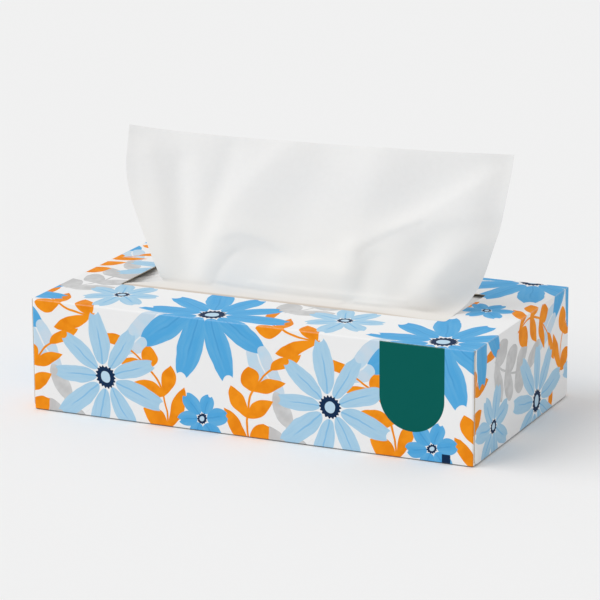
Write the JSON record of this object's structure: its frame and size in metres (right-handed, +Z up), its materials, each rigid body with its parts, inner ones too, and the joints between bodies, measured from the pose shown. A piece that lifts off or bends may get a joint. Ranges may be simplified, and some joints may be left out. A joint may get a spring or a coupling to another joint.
{
  "type": "facial tissue carton",
  "caption": "Flat printed card carton of facial tissues, with a rectangular slot in its top and a soft white tissue standing up through it in folds.",
  "frame": {"origin": "middle of the carton's underside", "axes": "+X along the carton's length, -Y out of its front panel, +Z up out of the slot"},
  "size_m": [0.23, 0.124, 0.1298],
  "materials": {
    "printed_card": "satin",
    "tissue": "matte",
    "tissue_pile": "matte"
  },
  "bodies": {
    "root": {"carton": "printed_card", "pop_up_tissue": "tissue", "tissue_stack": "tissue_pile"}
  },
  "joints": []
}
